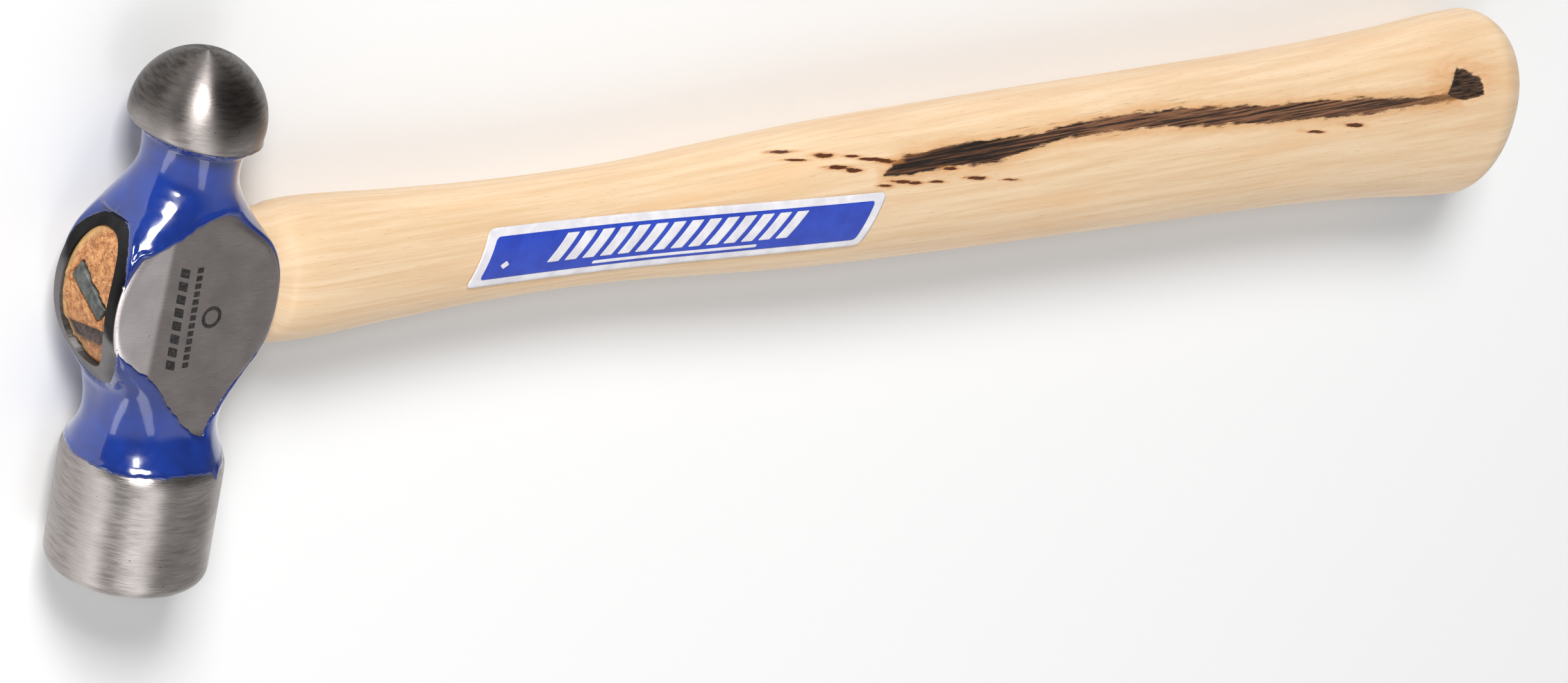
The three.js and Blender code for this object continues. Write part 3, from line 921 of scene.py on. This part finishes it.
def handle_row(x, angle):
    """One ring of the handle outside the eye, where it flares to its full section."""
    half_height, half_thickness = section_at(HANDLE_SECTIONS, np.array(min(x, BUTT_START_X)))
    along = max(0.0, x - BUTT_START_X) / (BUTT_X - BUTT_START_X)
    rounding = max(1 - along**BUTT_POWER, 1e-9) ** (1 / BUTT_POWER)
    radius = rounding * oval_radius(half_height, half_thickness, HANDLE_POWER, angle)
    tenon = tenon_radius(angle)
    mouth = section_at(HEAD_SECTIONS, tenon * np.cos(angle))[..., 1]
    radius = tenon + (radius - tenon) * smoothstep(mouth - 0.3, FLARE_X, x)
    return np.stack([0 * angle + x, radius * np.cos(angle), radius * np.sin(angle)], axis=-1)


def tenon_radius(angle):
    """The radius of the part of the handle in the eye."""
    height, width = EYE_HALF_HEIGHT - TENON_GAP, EYE_HALF_WIDTH - TENON_GAP
    return oval_radius(height, width, EYE_POWER, angle)


def handle_rows(angle):
    """The handle from its end in the eye to its butt, ring by ring."""
    rim = tenon_radius(angle)
    y, z = rim * np.cos(angle), rim * np.sin(angle)
    end = end_surface(y, z)
    rows = [
        np.stack([x, share * y, share * z], axis=-1)
        for share in np.linspace(0.01, 1, END_ROWS)
        for x in [end_surface(share * y, share * z)]
    ]
    rows += [
        np.stack([end + (TENON_X - end) * share, y, z], axis=-1)
        for share in np.linspace(0, 1, 16)[1:]
    ]
    tip = BUTT_START_X + (BUTT_X - BUTT_START_X) * np.sin(np.linspace(0, math.pi / 2, 26)[1:])
    stretches = ((TENON_X, DENSE_X[0], 170), (*DENSE_X, 130), (DENSE_X[1], BUTT_START_X, 170))
    reach = [np.linspace(*stretch)[1:] for stretch in stretches]
    rows += [handle_row(x, angle) for x in np.concatenate([*reach, tip])]
    return np.array(rows)


def wedge_clearance(y, z):
    """How far outside the wedge's slot a point of the end grain is."""
    sine, cosine = math.sin(WEDGE_TURN), math.cos(WEDGE_TURN)
    wide = (z - WEDGE_Z) * cosine - (y - WEDGE_Y) * sine
    deep = (z - WEDGE_Z) * sine + (y - WEDGE_Y) * cosine
    return rounded_box(wide - 0.15, deep - 0.1, WEDGE_WIDTH / 2 + 0.25, WEDGE_THICK / 2 + 0.2, 0.3)


def above_facet(y, z):
    """How far above the end grain's lower facet a point of it is."""
    return y - FACET_Y - FACET_SLANT * z


def dark_band_share(y, z):
    """How dark the end grain is: a band across its lower part, darkest at its top edge."""
    line = above_facet(y, z)
    return smoothstep(0.15, -0.25, line) * (1 - 0.8 * smoothstep(-1.6, -4.0, line))


def rim_share(y, z):
    """Where the end grain's edge is paler, along its lower side."""
    return smoothstep(-1.3, -0.4, eye_distance(y, z, TENON_GAP)) * smoothstep(0, -3, z)


def end_surface(y, z):
    """How far along X the rough end grain is, at each point of its face."""
    x = EYE_END_X + WOOD_RECESS + END_CURVE - np.sqrt(END_CURVE**2 - y**2)
    line = above_facet(y, z)
    facet = 0.5 * smoothstep(0.2, -0.2, line) - 0.06 * np.minimum(line, 0)
    rough = 0.16 * waves(11, y * 0.8, z * 0.8) + 0.1 * waves(12, y * 1.9, z * 1.9)
    crumbled = 1.1 * smoothstep(0.75, 0.2, np.hypot((y + 9.6) * 0.35, (z + 3.4) / 0.9))
    edge = smoothstep(-0.5, 0.0, eye_distance(y, z, TENON_GAP))
    slot = 1.6 * smoothstep(0.25, -0.05, wedge_clearance(y, z))
    from_split = np.abs(z - 5.15 + 0.05 * (y + 5) ** 2)
    split = 1.2 * smoothstep(0.35, 0.1, from_split) * smoothstep(-1.6, -3, y)
    return x + np.maximum(facet, 0) + rough * (1 - edge) + crumbled + 0.2 * edge + slot + split


def streak_reach(x, angle):
    """How far inside the dark streak each point of the handle is, in millimetres."""
    low, high = np.moveaxis(np.radians(section_at(STREAK, x)), -1, 0)
    middle, half = (low + high) / 2, (high - low) / 2
    inside = (half - np.abs(angle - middle)) * STREAK_RADIUS
    beyond = np.maximum(STREAK[0, 0] - x, x - STREAK[-1, 0])
    return np.where(beyond > 0, np.minimum(inside, -beyond), inside)


def fleck_reach(x, angle):
    """How much each point of the handle lies in one of the flecks: 1 in the middle of one."""
    best = np.full(np.shape(x), -1.0)
    rng = np.random.default_rng(21)
    for at, degrees in FLECKS:
        long, wide = rng.uniform(1.8, 3.8), rng.uniform(0.3, 0.55)
        side = (angle - math.radians(degrees)) * FLECK_RADIUS
        distance = np.hypot((x - at) / long, (side - 0.12 * (x - at)) / wide)
        best = np.maximum(best, 1 - distance)
    return best


def build_handle():
    """The handle, with its streak, knot and flecks as tones, and the knot sunk a little."""
    angle = handle_angles()
    points = handle_rows(angle)
    rows, sides = points.shape[:2]
    around = np.broadcast_to(angle, (rows, sides))
    x, y, z = np.moveaxis(points, -1, 0)
    out = x > TENON_X
    end = np.broadcast_to(np.arange(rows)[:, None] <= END_ROWS, (rows, sides))
    outline = [(at, math.radians(degrees) * KNOT_RADIUS) for at, degrees in KNOT]
    knot = outline_distance(outline, x, around * KNOT_RADIUS)
    beside_knot = (around - math.radians(48)) * KNOT_RADIUS
    halo = np.exp(-(((x - 276) / 9) ** 2) - ((beside_knot / 4.5) ** 2))
    attributes = {
        "grain": np.stack([x, around * GRAIN_RADIUS + 0.02 * x, 0 * x], axis=-1).reshape(-1, 3),
        "streak": np.where(out, streak_reach(x, around), -9).ravel(),
        "fleck": np.where(out, fleck_reach(x, around), -1).ravel(),
        "knot": np.where(out, -knot, -9).ravel(),
        "knot_halo": np.where(out, halo, 0).ravel(),
        "end": end.astype(float).ravel(),
        "dark_band": np.where(end, dark_band_share(y, z), 0).ravel(),
        "rim": np.where(end, rim_share(y, z), 0).ravel(),
    }
    sink = smoothstep(-0.4, 0.9, -knot) * out * 0.5
    inward = points.copy()
    inward[..., 0] = 0
    inward /= np.maximum(np.linalg.norm(inward, axis=-1, keepdims=True), 1e-6)
    points = points - inward * sink[..., None]
    corners, faces = points.reshape(-1, 3), grid_faces(rows, sides)
    wood = add_mesh("handle_wood", corners, faces, wood_look(), attributes)
    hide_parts("handle")


# ---------------- wedge


def build_wedge():
    """The steel wedge: a bar with rounded, hammered edges, standing a little out of the wood."""
    u, v = np.meshgrid(np.linspace(-1, 1, 41), np.linspace(-1, 1, 17), indexing="ij")
    taper = 1 - 0.12 * u
    edge = np.maximum(np.abs(u) ** 10, np.abs(v) ** 5)
    top = -WEDGE_PROUD + 0.35 * edge + 0.05 * (1 + waves(31, u * 4, v * 1.5)).clip(0)
    corners = np.stack([u * WEDGE_WIDTH / 2, v * WEDGE_THICK / 2 * taper, top], axis=-1)
    count = u.size
    index = np.arange(count).reshape(u.shape)
    quads = np.stack([index[:-1, :-1], index[1:, :-1], index[1:, 1:], index[:-1, 1:]], axis=-1)
    faces = quads.reshape(-1, 4).tolist()
    base = corners * (1, WEDGE_NARROWING, 0) + (0, 0, WEDGE_DEPTH)
    points = np.concatenate([corners.reshape(-1, 3), base.reshape(-1, 3)])
    closed = faces + [[c + count for c in reversed(face)] for face in faces]
    closed += [[b, a, a + count, b + count] for a, b in sorted(rim_edges(faces))]
    sine, cosine = math.sin(WEDGE_TURN), math.cos(WEDGE_TURN)
    wide, deep, down = points.T
    x = EYE_END_X + WOOD_RECESS + down
    y = WEDGE_Y - wide * sine + deep * cosine
    z = WEDGE_Z + wide * cosine + deep * sine
    placed = np.stack([x, y, z], axis=-1)
    wedge = add_mesh("wedge_bar", placed, closed, wedge_look())
    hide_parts("steel_wedge")


# ---------------- label


def label_point(along, across, rise):
    """A point of the label: along and across from its middle, and how far off the wood."""
    slanted = along + across * LABEL_LEAN / LABEL_HEIGHT
    x = LABEL_X + slanted * math.cos(LABEL_TILT) - across * math.sin(LABEL_TILT)
    y = LABEL_Y + slanted * math.sin(LABEL_TILT) + across * math.cos(LABEL_TILT)
    half_height, half_thickness = np.moveaxis(section_at(HANDLE_SECTIONS, x), -1, 0)
    share = np.clip(np.abs(y / half_height), 0, 1)
    z = half_thickness * (1 - share**HANDLE_POWER) ** (1 / HANDLE_POWER)
    return np.stack([x, y, z + rise], axis=-1)


def label_piece(name, outside, step, rise, thick, look):
    """A layer of the label, where outside(along, across) is below 0."""
    along, across = (
        np.linspace(-size / 2, size / 2, int(size / step)) for size in (LABEL_LENGTH, LABEL_HEIGHT)
    )
    u, v = np.meshgrid(along, across, indexing="ij")
    return cut_sheet(name, label_point(u, v, rise), outside(u, v), 0.0, thick, look)


def rounded_box(u, v, half_u, half_v, corner):
    """How far outside a rectangle with rounded corners a point is."""
    over_u = np.abs(u) - half_u + corner
    over_v = np.abs(v) - half_v + corner
    outer = np.hypot(np.maximum(over_u, 0), np.maximum(over_v, 0))
    return outer + np.minimum(np.maximum(over_u, over_v), 0) - corner


def build_label():
    """A white label with a blue field, and on it a row of slanting bars, a line and a spot."""

    def paper(u, v):
        return rounded_box(u, v, LABEL_LENGTH / 2 - 0.05, LABEL_HEIGHT / 2 - 0.05, 1.2)

    def field(u, v):
        return rounded_box(u, v, LABEL_LENGTH / 2 - 2.0, LABEL_HEIGHT / 2 - 1.35, 0.7)

    def marks(u, v):
        lean = u - 0.45 * v
        part = (lean + 26.5) % MARK_PITCH
        gap = 0.62 - np.minimum(part, MARK_PITCH - part)
        band = np.maximum(np.abs(lean + 1) - 25.5, np.abs(v - 0.6) - 2.3)
        line = rounded_box(u - 0.5, v + 2.7, 17, 0.28, 0.26)
        spot = np.abs(u + 35.5) + np.abs(v + 1.2) * 1.3 - 0.9
        return np.minimum.reduce([np.maximum(band, gap), line, spot])

    white = printed_look("label_white", srgb(232, 230, 234), srgb(214, 212, 218))
    blue = printed_look("label_blue", srgb(46, 74, 184), srgb(40, 64, 170))
    sheet = label_piece("label_paper", paper, 0.4, 0.30, 0.12, white)
    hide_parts("label")
    label_piece("label_field", field, 0.3, 0.33, 0.03, blue)
    label_piece("label_marks", marks, 0.16, 0.36, 0.03, white)


# ---------------- stage


def build_camera():
    aim = Vector(place((131.0, -27.17, 0)))
    azimuth, elevation, roll = math.radians(149.68), math.radians(40.44), math.radians(122.63)
    distance = 0.97546
    ahead, aside = math.cos(elevation) * math.cos(azimuth), math.cos(elevation) * math.sin(azimuth)
    back = Vector((ahead, aside, math.sin(elevation)))
    data = bpy.data.cameras.new("camera")
    data.sensor_width = 36
    data.lens = 134.39
    data.clip_start, data.clip_end = 0.05, 20
    camera = bpy.data.objects.new("camera", data)
    level = back.to_track_quat("Z", "Y").to_matrix()
    turned = (level @ Matrix.Rotation(roll, 3, "Z")).to_4x4()
    camera.matrix_world = Matrix.Translation(aim + back * distance) @ turned
    bpy.context.scene.collection.objects.link(camera)
    bpy.context.scene.camera = camera


def build_floor():
    look = Look("floor", Roughness=0.9)
    tone = look.noise(look.add("TexCoord", output=3), scale=3)
    colour = look.mix(tone, (0.88, 0.88, 0.88), (0.9, 0.9, 0.9))
    look.put(look.shader.inputs["Base Color"], colour)
    mesh = bpy.data.meshes.new("floor")
    half = 6.0
    corners = [(-half, -half, 0), (half, -half, 0), (half, half, 0), (-half, half, 0)]
    mesh.from_pydata(corners, [], [(0, 1, 2, 3)])
    mesh.materials.append(look.material)
    floor = bpy.data.objects.new("floor", mesh)
    bpy.context.scene.collection.objects.link(floor)


def add_light(name, direction, distance, width, height, strength):
    """A soft rectangular light that faces the hammer's head. Its width lies along Y.

    strength is the light that a surface facing it gets, where 1 shows a white surface as white.
    """
    data = bpy.data.lights.new(name, "AREA")
    data.shape = "RECTANGLE"
    data.size, data.size_y = height, width
    data.energy = strength * (math.pi * distance) ** 2
    light = bpy.data.objects.new(name, data)
    towards = Vector(direction).normalized()
    side = Vector((0, 1, 0)).cross(towards).normalized()
    up = towards.cross(side)
    turned = Matrix((side, up, towards)).transposed().to_4x4()
    light.matrix_world = Matrix.Translation(towards * distance + EYE) @ turned
    bpy.context.scene.collection.objects.link(light)


def build_world():
    """Pale surroundings, brighter towards the striking face than towards the ball."""
    world = bpy.data.worlds.new("studio")
    bpy.context.scene.world = world
    world.use_nodes = True
    tree = world.node_tree
    direction = tree.nodes.new("ShaderNodeTexCoord").outputs["Generated"]
    parts = tree.nodes.new("ShaderNodeSeparateXYZ")
    tree.links.new(direction, parts.inputs[0])
    ramp = tree.nodes.new("ShaderNodeMapRange")
    ramp.interpolation_type = "SMOOTHSTEP"
    for key, value in {"From Min": -0.35, "From Max": 0.15, "To Min": 0.64, "To Max": 0.12}.items():
        ramp.inputs[key].default_value = value
    tree.links.new(parts.outputs[1], ramp.inputs["Value"])
    tree.links.new(ramp.outputs[0], tree.nodes["Background"].inputs["Strength"])
    tree.nodes["Background"].inputs["Color"].default_value = (1, 1, 1, 1)


def build_lights():
    bpy.context.scene.view_settings.view_transform = "Standard"
    build_world()
    add_light("key", (-0.42, 0.70, 0.58), 3.0, width=0.85, height=0.85, strength=1.05)
    add_light("spark", (-0.6, 0.42, 0.68), 3.0, width=0.25, height=0.25, strength=0.12)
    add_light("overhead", (-0.135, -0.6, 0.8), 1.5, width=1.5, height=0.5, strength=0.16)
    add_light("side", (-0.8, -0.6, 0.135), 1.5, width=1.5, height=0.36, strength=0.16)


def main():
    build_camera()
    build_floor()
    build_lights()
    build_head()
    build_cheek_mark()
    build_handle()
    build_wedge()
    build_label()


main()
